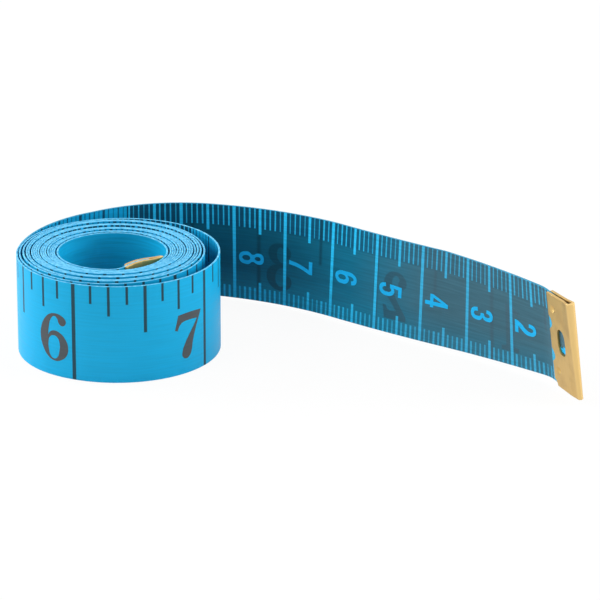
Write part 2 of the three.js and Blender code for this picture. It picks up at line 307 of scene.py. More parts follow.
PLAIN_FIGURES = {
    "0": [[(2.5, 10), (4.3, 9.2), (5, 5), (4.3, 0.8), (2.5, 0), (0.7, 0.8), (0, 5), (0.7, 9.2)],
          [(2.5, 8.6), (1.75, 7.9), (1.55, 5), (1.75, 2.1), (2.5, 1.4), (3.25, 2.1), (3.45, 5),
           (3.25, 7.9)]],
    "1": [[(2, 0, 1), (3.6, 0, 1), (3.6, 10, 1), (2.5, 10, 1), (2, 9), (0.9, 8.5, 1), (0.9, 7.3, 1),
           (2, 7.3, 1)]],
    "2": [[(0, 0, 1), (5, 0, 1), (5, 1.5, 1), (2.2, 1.5, 1), (3.3, 2.9), (4.6, 4.6), (5, 6.9), (4.3, 9.2),
           (2.5, 10), (0.7, 9.2), (0.1, 6.7, 1), (1.6, 6.5, 1), (1.85, 8.1), (2.5, 8.6), (3.25, 8.1),
           (3.4, 6.8), (2.9, 5.3), (1.2, 3.2), (0.2, 1.4)]],
    "3": [[(0.15, 7.2, 1), (0.75, 9.3), (2.5, 10), (4.2, 9.4), (4.7, 7.5), (4.3, 6), (3.6, 5.3, 1),
           (4.6, 4.5), (5, 2.8), (4.3, 0.7), (2.5, 0), (0.7, 0.7), (0, 3, 1), (1.5, 3.2, 1), (1.8, 1.8),
           (2.5, 1.35), (3.25, 1.8), (3.45, 2.9), (3.1, 4.2), (1.9, 4.55, 1), (1.9, 5.9, 1), (2.9, 6.3),
           (3.2, 7.4), (3, 8.3), (2.5, 8.65), (1.9, 8.3), (1.6, 7.1, 1)]],
    "4": [[(2.9, 10, 1), (4.3, 10, 1), (4.3, 3.6, 1), (5.1, 3.6, 1), (5.1, 2.2, 1), (4.3, 2.2, 1),
           (4.3, 0, 1), (2.8, 0, 1), (2.8, 2.2, 1), (0, 2.2, 1), (0, 3.5, 1)],
          [(1.25, 3.6, 1), (2.8, 7.4, 1), (2.8, 3.6, 1)]],
    "5": [[(0.7, 10, 1), (4.7, 10, 1), (4.7, 8.5, 1), (1.9, 8.5, 1), (1.7, 6.4, 1), (2.9, 6.8),
           (4.4, 5.9), (5, 3.5), (4.3, 0.9), (2.4, 0), (0.7, 0.7), (0, 2.8, 1), (1.5, 3, 1), (1.8, 1.8),
           (2.4, 1.4), (3.2, 1.9), (3.45, 3.4), (3.2, 4.9), (2.5, 5.4), (1.7, 4.8, 1), (0.3, 4.8, 1)]],
    "6": [[(4.8, 7.6, 1), (4.3, 9.3), (2.6, 10), (0.8, 9), (0, 4.7), (0.7, 0.9), (2.5, 0), (4.4, 1),
           (5, 3.3), (4.4, 5.6), (2.8, 6.4), (1.5, 5.6, 1), (1.8, 7.9), (2.5, 8.6), (3.1, 8.2),
           (3.3, 7.4, 1)],
          [(2.5, 5), (1.75, 4.4), (1.55, 3.2), (1.8, 1.9), (2.5, 1.4), (3.2, 1.9), (3.45, 3.3),
           (3.2, 4.5)]],
    "7": [[(0, 10, 1), (5, 10, 1), (5, 8.7, 1), (3.9, 6.2), (2.9, 3), (2.4, 0, 1), (0.8, 0, 1),
           (1.4, 3.2), (2.4, 6.2), (3.4, 8.5, 1), (0, 8.5, 1)]],
    "8": [[(2.5, 10), (4.2, 9.4), (4.7, 7.6), (3.9, 5.4), (4.9, 4), (5, 2.6), (4.3, 0.7), (2.5, 0),
           (0.7, 0.7), (0, 2.6), (0.1, 4), (1.1, 5.4), (0.3, 7.6), (0.8, 9.4)],
          [(2.5, 8.7), (1.85, 8.3), (1.7, 7.5), (1.9, 6.7), (2.5, 6.3), (3.1, 6.7), (3.3, 7.5),
           (3.15, 8.3)],
          [(2.5, 4.5), (1.7, 4), (1.5, 2.8), (1.75, 1.8), (2.5, 1.3), (3.25, 1.8), (3.5, 2.8), (3.3, 4)]],
}


def linear(code):
    """An sRGB hex colour as linear red, green, blue and alpha."""
    channels = [int(code[at:at + 2], 16) / 255 for at in (1, 3, 5)]
    return (*(c / 12.92 if c <= 0.04045 else ((c + 0.055) / 1.055) ** 2.4 for c in channels), 1.0)


def clamped(share):
    """A share, kept from 0 to 1."""
    return min(max(share, 0), 1)


def smooth(share):
    """An eased step from 0 to 1."""
    share = clamped(share)
    return share * share * (3 - 2 * share)


def between(values, at):
    """A list's value at a place between its items."""
    at = min(max(at, 0), len(values) - 1)
    first = min(int(at), len(values) - 2)
    return values[first] + (values[first + 1] - values[first]) * (at - first)


def length(name, description, default):
    """A setting for a length, in metres."""
    return FloatProperty(name=name, description=description, default=default, precision=5,
                         unit="LENGTH", subtype="DISTANCE")


def colour(name, description, code):
    """A setting for a colour, from its sRGB hex value."""
    return FloatVectorProperty(name=name, description=description, default=linear(code), size=4,
                               min=0, max=1, subtype="COLOR")


def power(side, default):
    """A setting for the power of a softbox, in watts."""
    return FloatProperty(name=f"{side} Light", description=f"Power of the {side.lower()} softbox",
                         default=default, unit="POWER")


class TapeSizes(bpy.types.PropertyGroup):
    """The cloth tape and how it is wound"""
    width: length("Width", "Width of the tape", TAPE_WIDTH)
    thickness: length("Thickness", "Thickness of the coated cloth", 0.32 * MM)
    whole_turns: IntProperty(name="Whole Turns", description="Whole turns on the coil",
                             default=16, min=2, max=24)
    inner_bow: length("Inner Bow", "How far the inner end is bowed towards the middle", 0.9 * MM)
    ink: length("Ink", "Thickness of the printed figures", 0.025 * MM)
    inch_figure: length("Inch Figure", "Height of the inch figures", 8.9 * MM)
    inch_figure_foot: length("Inch Figure Foot", "Their foot above the lower edge", 2.85 * MM)
    inch_figure_space: length("Inch Figure Space", "From a figure's middle to its line", 4.15 * MM)
    centimetre_figure: length("Centimetre Figure", "Height of the centimetre figures", 4.88 * MM)
    centimetre_figure_middle: length("Centimetre Figure Middle", "Their middle above the edge", 8.2 * MM)
    centimetre_figure_space: length("Centimetre Figure Space", "From a figure to its line", 0.88 * MM)


class TapeColours(bpy.types.PropertyGroup):
    """The colours of the tape and its print"""
    blue: colour("Blue", "The vinyl coating", "#0CA2D3")
    bare: colour("Bare", "Marks left blue in the printed ground", "#2AC2F4")
    figure_blue: colour("Figure Blue", "Figures left blue in the printed ground", "#18B0EC")
    # Painted sheen: the marks paler and greyer towards the zero end, for the reflection of the white floor
    # there
    worn_bare: colour("Worn Bare", "The same marks, worn near the zero end", "#3AA8D3")
    edge: colour("Cut Edge", "The cut edges, where the pale cloth shows", "#70C8EC")
    broken_edge: colour("Broken Edge", "The cut edges between the threads", "#349ED0")
    ground: colour("Ground", "Ink of the centimetre face", "#095770")
    # Painted light: this lighter ink stands for the sheen towards the zero end and the floor's bounce light
    # along the lower edge; along the tail it is also the ink on the cut edge
    rubbed_ground: colour("Rubbed Ground", "The same ink where the tape is handled", "#0C7896")
    # Painted sheen: the ink grey towards the zero end, for the reflection of the white floor there
    worn_ground: colour("Worn Ground", "The same ink, worn grey near the zero end", "#3A6474")
    margin: colour("Margin", "The ink among the millimetre marks", "#064262")
    shadow: colour("Shadow", "The ground where the inch print shows through", "#083C4C")
    # Painted sheen: the same grey where the inch print shows through
    worn_shadow: colour("Worn Shadow", "The worn ground where the inch print shows through", "#3C5A68")
    mark: colour("Mark", "Ink of the marks on the blue", "#1F424F")
    black: colour("Black", "Ink of the inch figures", "#4A4F53")


class TabSizes(bpy.types.PropertyGroup):
    """The folded brass tabs"""
    length: length("Length", "From the open edge to the outside of the fold", 8.5 * MM)
    sheet: length("Sheet", "Thickness of the brass", 0.45 * MM)
    upper_flare: length("Upper Flare", "How far the zero tab's fold stands past the upper edge", 1.1 * MM)
    lower_flare: length("Lower Flare", "How far it stands past the lower edge", -0.60 * MM)
    pinch: length("Pinch", "Half the thickness at the open edge, to the middle of the sheet", 0.40 * MM)
    half_fold: length("Half Fold", "Half the thickness at the fold, to the middle of the sheet", 0.42 * MM)
    splay: length("Splay", "How much more the fold is open at its upper end than at its lower", 0.34 * MM)
    inner_half_fold: length("Inner Half Fold", "The same for the flatter inner tab", 0.40 * MM)
    corner: length("Corner", "Radius of the fold's two corners, to the middle of the sheet", 0.22 * MM)
    window_width: length("Window Width", "Width of the window along the tape", 2.85 * MM)
    window_height: length("Window Height", "Height of the window across the tape", 4.9 * MM)
    window_rise: length("Window Rise", "Height of the window above the middle of the tape", 0.65 * MM)
    window_setback: length("Window Setback", "From the open edge to the middle of the window", 4.0 * MM)
    dimple: length("Dimple", "Radius of a pressed dimple", 0.8 * MM)
    dimple_depth: length("Dimple Depth", "Depth of a pressed dimple", 0.34 * MM)
    nick_depth: length("Nick Depth", "Depth of the nicks in the open edge", 1.0 * MM)
    # Painted highlight: the fold's brass is painted lighter than the leaves' brass, for the brighter
    # reflection along the fold
    brass: colour("Brass", "The satin brass, rubbed bright at the fold", "#E2C180")
    dull: colour("Dull Brass", "The brass of the leaves", "#D2B06E")
    tarnish: colour("Tarnish", "The leaves where they have dulled", "#BE9C60")


class StageSettings(bpy.types.PropertyGroup):
    """The floor, the lights and the camera"""
    left_light: power("Left", 2.3)
    back_light: power("Back", 4.9)
    right_light: power("Right", 5.2)
    top_light: power("Top", 1.2)
    world: FloatProperty(name="Room", description="Strength of the light from the room", default=0.315)
    floor: colour("Floor", "The pale floor", "#F4F4F2")
    lens: FloatProperty(name="Lens", description="Focal length on a 36 mm sensor", default=270)


class TapeRoute:
    """The tape's route: the middle of its width and its width direction at each scale reading."""

    def __init__(self, sizes):
        self.width = sizes.width
        self.inner_bow = sizes.inner_bow
        inner = (HINGE["inner_end_flex"] - COIL_CENTRE).xy
        part = (math.atan2(inner.y, inner.x) - LEAVE_ANGLE) / math.tau % 1
        self.turns = sizes.whole_turns + part
        loose = sum(extra for turn, extra, spread in LOOSE_TURNS)
        self.pitch = (OUTER_RADIUS - inner.length - loose) / self.turns
        self.tail_rise = HINGE["zero_end_flex"].z - math.cos(math.radians(TAIL_LEANS[-1])) * self.width / 2
        self.measure_coil()
        self.coil_stop = LEAVE_READING + self.lengths[-1]
        zero_turn = Matrix.Rotation(ZERO_BEND, 3, self.tail(self.tail_length)[1])
        self.zero_way = zero_turn @ self.way(self.tail, self.tail_length)
        self.inner_way = Matrix.Rotation(INNER_BEND, 3, "Z") @ self.way(self.coil, self.turns)
        self.inner_way.z = 0
        self.stations = {}

    @property
    def tail_length(self):
        """From where the tail leaves the coil to its last hinge."""
        return FLEX_SPACING * len(TAIL_BENDS)

    def measure_coil(self):
        """The winding and the length of tape so far, at even steps round the coil."""
        count = math.ceil(self.turns * TURN_SAMPLES)
        self.windings = [self.turns * step / count for step in range(count + 1)]
        places = [self.coil(winding)[0] for winding in self.windings]
        self.lengths = [0.0]
        for last, place in zip(places, places[1:]):
            self.lengths.append(self.lengths[-1] + (place - last).length)

    def radius(self, winding):
        """The distance from the middle of the coil at a number of turns from the tail."""
        angle = LEAVE_ANGLE + winding * math.tau
        radius = OUTER_RADIUS - self.pitch * winding
        for turn, extra, spread in LOOSE_TURNS:
            radius -= extra * smooth((winding - turn) / spread + 0.5)
        for turn, before, after, amount in STANDOFFS:
            off = (winding - turn) / (before if winding < turn else after)
            if abs(off) < 1:
                radius += amount * math.cos(off * math.pi / 2) ** 2
        inward = clamped((winding - FLATTENED_FROM) / (self.turns - FLATTENED_FROM))
        radius -= inward * (EYE_FLATTENING * math.sin(angle) ** 2 + EYE_SHIFT * math.sin(angle))
        first, last = PACK_GROWS
        grown = smooth((winding - first) / (last - first))
        gone = clamped((winding - PACK_FADES) / (self.turns - PACK_GONE - PACK_FADES))
        right, back = PACK_SHIFT
        return radius + grown * (1 - gone) * (right * math.cos(angle) + back * math.sin(angle))

    def coil(self, winding):
        """The place at a number of turns from the tail."""
        angle = LEAVE_ANGLE + winding * math.tau
        front = (1 - math.sin(angle)) / 2
        lift = between(FRONT_LIFTS, winding - FRONT_TURN) * front
        lift += between(BACK_LIFTS, winding - BACK_TURN) * (1 - front)
        radius = self.radius(winding)
        middle = Vector((radius * math.cos(angle), radius * math.sin(angle), self.width / 2 + lift * MM))
        return COIL_CENTRE + middle, Vector((0, 0, 1))

    def tail(self, distance):
        """The place at a distance along the tail from the coil."""
        foot = HINGE["tail_flex_1"].xy
        heading = TAIL_HEADING
        left = distance
        for number, bend in enumerate(TAIL_BENDS):
            share = left / FLEX_SPACING if number + 1 == len(TAIL_BENDS) else min(left / FLEX_SPACING, 1)
            half = math.radians(bend) * share / 2
            chord = share * FLEX_SPACING * (math.sin(half) / half if half else 1)
            foot = foot + chord * Vector((math.cos(heading + half), math.sin(heading + half)))
            heading += 2 * half
            left -= FLEX_SPACING
            if left <= 0:
                break
        lean = math.radians(TAIL_LEANS[number] + (TAIL_LEANS[number + 1] - TAIL_LEANS[number]) * share)
        along = Vector((math.cos(heading), math.sin(heading), 0))
        across = Vector((-along.y * math.sin(lean), along.x * math.sin(lean), math.cos(lean)))
        middle = Vector((*foot, self.tail_rise * distance / self.tail_length)) + across * self.width / 2
        first, last = SKEW_READINGS
        skew = TAIL_SKEW * smooth((first - LEAVE_READING + distance) / (first - last))
        return middle, (across + along * skew).normalized()

    def way(self, path, at, step=1e-5):
        """The direction of a path at a place on it."""
        return (path(at + step)[0] - path(at - step)[0]).normalized()

    def past_zero(self, past):
        """The place at a distance past the last hinge, towards the zero end."""
        if past <= 0:
            return self.tail(self.tail_length + past)
        middle, across = self.tail(self.tail_length)
        return middle + self.zero_way * past, across

    def past_inner(self, past):
        """The place at a distance past the inner hinge."""
        if past <= 0:
            return self.wound(self.lengths[-1] + past)
        middle, across = self.coil(self.turns)
        share = min(past / INNER_LENGTH, 1)
        bow = self.inner_bow * math.sin(share * math.pi) ** 2
        aside = Vector((-self.inner_way.y, self.inner_way.x, 0))
        droop = Vector((0, 0, INNER_DROOP * share))
        return middle + self.inner_way * past + aside * bow - droop, across

    def wound(self, distance):
        """The place at a distance along the coil from the tail."""
        at = min(max(bisect.bisect(self.lengths, distance), 1), len(self.lengths) - 1)
        share = (distance - self.lengths[at - 1]) / (self.lengths[at] - self.lengths[at - 1])
        return self.coil(self.windings[at - 1] + share * (self.windings[at] - self.windings[at - 1]))

    def round_the_bend(self, path, past):
        """A place near a bend at 0 on a path, with the corner there eased into a short curve."""
        if abs(past) >= BEND_REACH:
            return path(past)
        share = (past + BEND_REACH) / (2 * BEND_REACH)
        before, corner, after = (path(at) for at in (-BEND_REACH, 0, BEND_REACH))
        return tuple(a.lerp(b, share).lerp(b.lerp(c, share), share)
                     for a, b, c in zip(before, corner, after))

    def place(self, reading):
        """The middle of the tape at a reading, and its width direction."""
        distance = LEAVE_READING - reading
        if distance > 0:
            return self.round_the_bend(self.past_zero, distance - self.tail_length)
        return self.round_the_bend(self.past_inner, -distance - self.lengths[-1])

    def station(self, reading):
        """The middle of the tape at a reading, its width direction and the way its inch face looks."""
        key = round(reading, DECIMALS)
        if key not in self.stations:
            middle, across = self.place(reading)
            along = self.way(self.place, reading)
            self.stations[key] = middle, across, along.cross(across).normalized()
        return self.stations[key]

    def reading_at(self, winding):
        """The reading at a number of turns from the tail."""
        at = bisect.bisect(self.windings, winding)
        return LEAVE_READING + self.lengths[at]

    def roll(self, bm):
        """Moves everything in a flat mesh to its place on the route."""
        for vert in bm.verts:
            middle, across, inch_side = self.station(vert.co.x)
            vert.co = middle + across * (vert.co.y - self.width / 2) + inch_side * vert.co.z


def add(tree, kind, inputs=(), **settings):
    """Adds a shader node with its settings, puts values or links on its inputs, by name or in their order,
    and gives its first output."""
    node = tree.nodes.new("ShaderNode" + kind)
    for name, value in settings.items():
        setattr(node, name, value)
    if not isinstance(inputs, dict):
        inputs = dict(zip((at for at, socket in enumerate(node.inputs) if socket.enabled), inputs))
    for key, value in inputs.items():
        if isinstance(value, bpy.types.NodeSocket):
            tree.links.new(value, node.inputs[key])
        else:
            node.inputs[key].default_value = value
    return next((socket for socket in node.outputs if socket.enabled), None)


def new_material(name):
    """An empty material and its nodes."""
    material = bpy.data.materials.new(name)
    material.use_nodes = True
    material.node_tree.nodes.clear()
    return material, material.node_tree


def printed_place(tree):
    """The scale reading and the height across the tape at a point of a printed piece."""
    place = add(tree, "UVMap", uv_map="Print")
    reading = add(tree, "SeparateXYZ", (place,))
    return reading, reading.node.outputs["Y"]


def grain(tree, place, size, detail=2.0):
    """Noise on the flat print, with a grain of a length and a width in metres."""
    along, across = size
    scaled = add(tree, "Mapping", {"Vector": place, "Scale": (1 / along, 1 / across, 1)})
    return add(tree, "TexNoise", {"Vector": scaled, "Scale": 1.0, "Detail": detail}, noise_dimensions="2D")


def scale_marks(tree, reading, height, rows, softness=MARK_SOFTNESS, widths=None, strengths=None):
    """How far a point is covered by a scale's marks, from 0 to 1. The widths and strengths of the first
    row's marks can vary, as shares of the full ones."""
    drop = add(tree, "Math", (TAPE_WIDTH, height), operation="SUBTRACT")
    marks = None
    for spacing, width, from_top, from_foot in rows:
        off = add(tree, "Math", (reading, spacing / 2), operation="PINGPONG")
        varied = widths and spacing == rows[0][0]
        if varied:
            off = add(tree, "Math", (off, widths), operation="DIVIDE")
        line = add(tree, "MapRange", (off, width / 2 - softness, width / 2 + softness, 1, 0))
        if varied:
            line = add(tree, "Math", (line, strengths), operation="MULTIPLY")
        for depth, reach in ((drop, from_top), (height, from_foot)):
            if reach:
                inside = add(tree, "MapRange", (depth, reach - softness, reach + softness, 1, 0))
                mark = add(tree, "Math", (line, inside), operation="MULTIPLY")
                marks = add(tree, "Math", (marks, mark), operation="MAXIMUM") if marks else mark
    return marks


def vinyl(tree, colour_value, contrast):
    """Calendered vinyl: a smooth satin coat with little shine, faintly ribbed by the glass threads under it,
    which lie about 0.3 mm apart and show as streaks some millimetres long, most of all in a thin print."""
    place = add(tree, "UVMap", uv_map="Print")
    streaks = grain(tree, place, THREAD_STREAK)
    shade = add(tree, "MapRange", (streaks, *NOISE_SPAN, 1 - contrast, 1 + contrast))
    surface = add(tree, "BsdfPrincipled", {
        "Base Color": add(tree, "VectorMath", (colour_value, shade), operation="SCALE"),
        "Roughness": add(tree, "MapRange", (streaks, *NOISE_SPAN, 0.38, 0.5)),
        "Specular IOR Level": 0.16,
        "Normal": add(tree, "Bump", {"Strength": 0.2, "Distance": 0.03 * MM, "Height": streaks})})
    add(tree, "OutputMaterial", (surface,))


def printed_ground(tree, colours, reading, height, through):
    """The dark ground of the centimetre face, and how far the grey sheen has grown. It is painted lighter
    along its lower edge, painted bounce light from the floor, and painted lighter towards the zero end,
    where it is
    painted grey: a painted sheen for the reflection of the white floor there. It is darker among the upper
    millimetre marks and where the inch print shows through."""
    # Painted sheen: lighter and then greyer towards the zero end, for the reflection of the white floor
    # there
    grey_sheen = add(tree, "MapRange", (reading, *GREY_SHEEN_READINGS, 0, 1))
    light_sheen = add(tree, "MapRange", (reading, *LIGHT_SHEEN_READINGS, 0, LIGHT_SHEEN_SHARE))
    ink = add(tree, "Mix", (light_sheen, colours.ground, colours.rubbed_ground), data_type="RGBA")
    ink = add(tree, "Mix", (grey_sheen, ink, colours.worn_ground), data_type="RGBA")
    for heights, shares, tone in ((MARGIN_HEIGHTS, MARGIN_SHARES, colours.margin),
                                  # In this loop the lower band is painted bounce light from the white floor;
                                  # the upper margin is darker ink
                                  (BOUNCE_LIGHT_HEIGHTS, BOUNCE_LIGHT_SHARES, colours.rubbed_ground)):
        inside = add(tree, "MapRange", (height, *heights, 0, 1))
        most = add(tree, "MapRange", (grey_sheen, 0, 1, *shares))
        share = add(tree, "Math", (inside, most), operation="MULTIPLY")
        ink = add(tree, "Mix", (share, ink, tone), data_type="RGBA")
    shadow = add(tree, "Mix", (grey_sheen, colours.shadow, colours.worn_shadow), data_type="RGBA")
    share = add(tree, "Math", (through, SHADOW_SHARE), operation="MULTIPLY")
    return add(tree, "Mix", (share, ink, shadow), data_type="RGBA"), grey_sheen


def centimetre_marks(tree, reading, height):
    """The marks of the centimetre scale. Some millimetre marks are narrow or partly filled in, and those
    along the lower edge are wider. A band next to the zero tab is left bare."""
    millimetres = add(tree, "Math", (reading, MM), operation="DIVIDE")
    whole = add(tree, "Math", (millimetres,), operation="ROUND")
    chance = add(tree, "TexWhiteNoise", (whole,), noise_dimensions="1D")
    widths = add(tree, "MapRange", (chance, 0, 1, *MARK_WIDTHS))
    lower = add(tree, "MapRange", (height, *LOW_MARK_HEIGHTS, 1, LOW_MARK_WIDTH))
    widths = add(tree, "Math", (widths, lower), operation="MULTIPLY")
    strengths = add(tree, "MapRange", (chance, 0, WEAK_CHANCE, *MARK_STRENGTHS))
    marks = scale_marks(tree, reading, height, CENTIMETRE_MARKS, widths=widths, strengths=strengths)
    first, last = BARE_BAND
    band = add(tree, "Math", (reading, (first + last) / 2, (last - first) / 2), operation="COMPARE")
    low = add(tree, "Math", (height, BARE_BAND_TOP), operation="LESS_THAN")
    band = add(tree, "Math", (band, low), operation="MULTIPLY")
    return add(tree, "Math", (marks, band), operation="MAXIMUM")


def centimetre_vinyl(name, colours, stop, figures):
    """Blue vinyl with the centimetre scale: one decimetre has a dark printed ground with its marks left
    blue, and the next has dark marks on the blue. The print of the other face shows through it: the longer
    inch marks on the tape itself, and the inch figures on films of the same vinyl, by their depth."""
    material, tree = new_material(name)
    reading, height = printed_place(tree)
    if figures:
        through = add(tree, "Attribute", attribute_name="Depth").node.outputs["Fac"]
    else:
        inches = add(tree, "Math", (reading, SHADOW_LEAD), operation="ADD")
        through = scale_marks(tree, inches, height, INCH_MARKS[2:], SHADOW_SOFTNESS)
    ink, grey_sheen = printed_ground(tree, colours, reading, height, through)
    marks = centimetre_marks(tree, reading, height)
    decimetres = add(tree, "Math", (reading, DECIMETRE), operation="DIVIDE")
    whole = add(tree, "Math", (decimetres,), operation="FLOOR")
    odd = add(tree, "Math", (whole, 2), operation="MODULO")
    bare = add(tree, "Math", (marks, odd), operation="SUBTRACT")
    bare = add(tree, "Math", (bare,), operation="ABSOLUTE")
    past = add(tree, "MapRange", (reading, stop, stop + MARK_SOFTNESS, 0, 1))
    bare = add(tree, "Math", (bare, past), operation="MAXIMUM")
    # Painted sheen: the blue marks grow paler and greyer towards the zero end too
    mark_blue = add(tree, "Mix", (grey_sheen, colours.bare, colours.worn_bare), data_type="RGBA")
    plain = add(tree, "Math", (odd, past), operation="MAXIMUM")
    blue = add(tree, "Mix", (plain, mark_blue, colours.blue), data_type="RGBA")
    vinyl(tree, add(tree, "Mix", (bare, ink, blue), data_type="RGBA"), GROUND_STREAKS)
    return material


def inch_vinyl(name, colours):
    """Blue vinyl with the inch scale printed on it in black."""
    material, tree = new_material(name)
    reading, height = printed_place(tree)
    inches = add(tree, "Math", (reading, INCH_LEAD), operation="ADD")
    marks = scale_marks(tree, inches, height, INCH_MARKS)
    vinyl(tree, add(tree, "Mix", (marks, colours.blue, colours.mark), data_type="RGBA"), BLUE_STREAKS)
    return material


def cut_edge(name, colours):
    """The cut edge of coated glass cloth: pale broken threads between two skins of blue. Along the tail the
    dark print runs over it."""
    material, tree = new_material(name)
    place = add(tree, "UVMap", uv_map="Print")
    broken = grain(tree, place, BROKEN_THREAD, 3.0)
    share = add(tree, "MapRange", (broken, 0.35, 0.65, 0, 0.8))
    worn = add(tree, "Mix", (share, colours.edge, colours.broken_edge), data_type="RGBA")
    reading = add(tree, "SeparateXYZ", (place,))
    inked = add(tree, "MapRange", (reading, *INKED_READINGS, 0, INKED_SHARE))
    worn = add(tree, "Mix", (inked, worn, colours.rubbed_ground), data_type="RGBA")
    surface = add(tree, "BsdfPrincipled", {"Base Color": worn, "Roughness": 0.6, "Specular IOR Level": 0.2})
    add(tree, "OutputMaterial", (surface,))
    return material


def screen_ink(name, ink):
    """A film of screen ink: satin like the vinyl, a little uneven where the cloth's threads take it."""
    material, tree = new_material(name)
    vinyl(tree, ink[:3], INK_STREAKS)
    return material


def satin_brass(name, tab):
    """Stamped sheet brass: satin, with fine rolling lines across it and dull in patches. Along the fold it
    is painted lighter than on the leaves, a painted highlight for the brighter reflection there."""
    material, tree = new_material(name)
    place = add(tree, "UVMap", uv_map="Print")
    lines = grain(tree, place, ROLLING_LINE)
    patches = add(tree, "MapRange", (grain(tree, place, DULL_PATCH, 3.0), 0.4, 0.75, 0, 0.7))
    leaf = add(tree, "Mix", (patches, tab.dull, tab.tarnish), data_type="RGBA")
    along = add(tree, "SeparateXYZ", (place,))
    # Painted highlight along the fold, where the brass reflects more light
    from_fold = add(tree, "Math", (along, tab.length + FOLD_HIGHLIGHT_PAST), operation="SUBTRACT")
    from_fold = add(tree, "Math", (from_fold,), operation="ABSOLUTE")
    fold_highlight = add(tree, "MapRange", (from_fold, *FOLD_HIGHLIGHT_REACH, 0, 1))
    surface = add(tree, "BsdfPrincipled", {
        "Base Color": add(tree, "Mix", (fold_highlight, leaf, tab.brass), data_type="RGBA"),
        "Metallic": 1.0,
        "Roughness": add(tree, "MapRange", (lines, 0.3, 0.7, 0.38, 0.5)),
        "Normal": add(tree, "Bump", {"Strength": 0.2, "Distance": 0.01 * MM, "Height": lines})})
    add(tree, "OutputMaterial", (surface,))
    return material


def finish(name, make, *settings):
    """A material by its name, made when it is first asked for."""
    return bpy.data.materials.get(name) or make(name, *settings)


def to_object(bm, name, materials):
    """A mesh as an object in the scene, with its materials."""
    mesh = bpy.data.meshes.new(name)
    bm.to_mesh(mesh)
    bm.free()
    for material in materials:
        mesh.materials.append(material)
    piece = bpy.data.objects.new(name, mesh)
    bpy.context.scene.collection.objects.link(piece)
    return piece


def map_print(bm):
    """Gives each corner of a flat mesh its reading and height, for the print."""
    layer = bm.loops.layers.uv.new("Print")
    for face in bm.faces:
        for loop in face.loops:
            loop[layer].uv = loop.vert.co.xy


def soften(bm):
    """Shades a flat mesh smooth along the tape, with sharp lines only where its sides meet its faces."""
    bm.normal_update()
    for face in bm.faces:
        face.smooth = True
    for edge in bm.edges:
        flat = [abs(face.normal.z) > FLAT for face in edge.link_faces]
        edge.smooth = len(set(flat)) == 1


def thicken(bm, depth):
    """Gives a flat mesh a thickness, up or down."""
    raised = bmesh.ops.extrude_face_region(bm, geom=bm.faces[:])
    moved = [item for item in raised["geom"] if isinstance(item, bmesh.types.BMVert)]
    bmesh.ops.translate(bm, verts=moved, vec=(0, 0, depth))
    bmesh.ops.recalc_face_normals(bm, faces=bm.faces[:])


def flat_strip(sizes, start, stop, step):
    """A length of the tape in the flat, with rounded edges: the centimetre face below, the inch face on
    top."""
    bm = bmesh.new()
    place = Matrix.Translation(((start + stop) / 2, sizes.width / 2, -sizes.thickness / 2))
    shape = Matrix.Diagonal((stop - start, sizes.width, 1, 1))
    columns = math.ceil((stop - start) / step)
    bmesh.ops.create_grid(bm, x_segments=columns, y_segments=1, size=0.5, matrix=place @ shape)
    thicken(bm, sizes.thickness)
    long_edges = [edge for edge in bm.edges if (edge.verts[0].co - edge.verts[1].co).yz.length < TINY]
    bmesh.ops.bevel(bm, geom=long_edges, offset=EDGE_ROUND, segments=2, profile=0.5, affect="EDGES",
                    material=-1)
    bm.normal_update()
    for face in bm.faces:
        face.material_index = 2 if abs(face.normal.z) < FLAT else int(face.normal.z > 0)
    soften(bm)
    map_print(bm)
    return bm


def drawn_figure(figures, digit):
    """One figure, on a body one unit high, its foot at 0. The nine is the six turned round."""
    turned = digit == "9"
    curve = bpy.data.curves.new("figure", "CURVE")
    curve.dimensions = "2D"
    curve.fill_mode = "BOTH"
    curve.resolution_u = 5
    for outline in figures["6" if turned else digit]:
        spline = curve.splines.new("BEZIER")
        spline.use_cyclic_u = True
        spline.bezier_points.add(len(outline) - 1)
        for point, (x, y, *corner) in zip(spline.bezier_points, outline):
            point.co = (x / FIGURE_BODY, y / FIGURE_BODY, 0)
            kind = "VECTOR" if corner else "AUTO"
            point.handle_left_type = kind
            point.handle_right_type = kind
    holder = bpy.data.objects.new("figure", curve)
    mesh = bpy.data.meshes.new_from_object(holder)
    bm = bmesh.new()
    bm.from_mesh(mesh)
    bpy.data.objects.remove(holder)
    bpy.data.curves.remove(curve)
    bpy.data.meshes.remove(mesh)
    bmesh.ops.remove_doubles(bm, verts=bm.verts[:], dist=FIGURE_MERGE)
    across = [vert.co.x for vert in bm.verts]
    middle = Vector(((min(across) + max(across)) / 2, 0.5, 0))
    if turned:
        bmesh.ops.rotate(bm, verts=bm.verts[:], cent=middle, matrix=Matrix.Rotation(math.pi, 3, "Z"))
    bmesh.ops.translate(bm, verts=bm.verts[:], vec=(-middle.x, 0, 0))
    return bm


def blur_rim(bm):
    """Gives a flat figure a soft rim: a ring of faces round it, over which its depth falls from 1 to 0."""
    depth = bm.verts.layers.float.new("Depth")
    rim = [edge for edge in bm.edges if edge.is_boundary]
    outward = {}
    for edge in rim:
        first, second = (vert.co for vert in edge.verts)
        out = (second - first).cross(Vector((0, 0, 1))).normalized()
        if out.dot(edge.link_faces[0].calc_center_median() - first) > 0:
            out.negate()
        for place in (first.to_tuple(DECIMALS), second.to_tuple(DECIMALS)):
            outward[place] = outward.get(place, Vector()) + out
    for vert in bm.verts:
        vert[depth] = 1
    for item in bmesh.ops.extrude_edge_only(bm, edges=rim)["geom"]:
        if isinstance(item, bmesh.types.BMVert):
            item[depth] = 0
            item.co += outward[item.co.to_tuple(DECIMALS)].normalized() * SHADOW_SOFTNESS


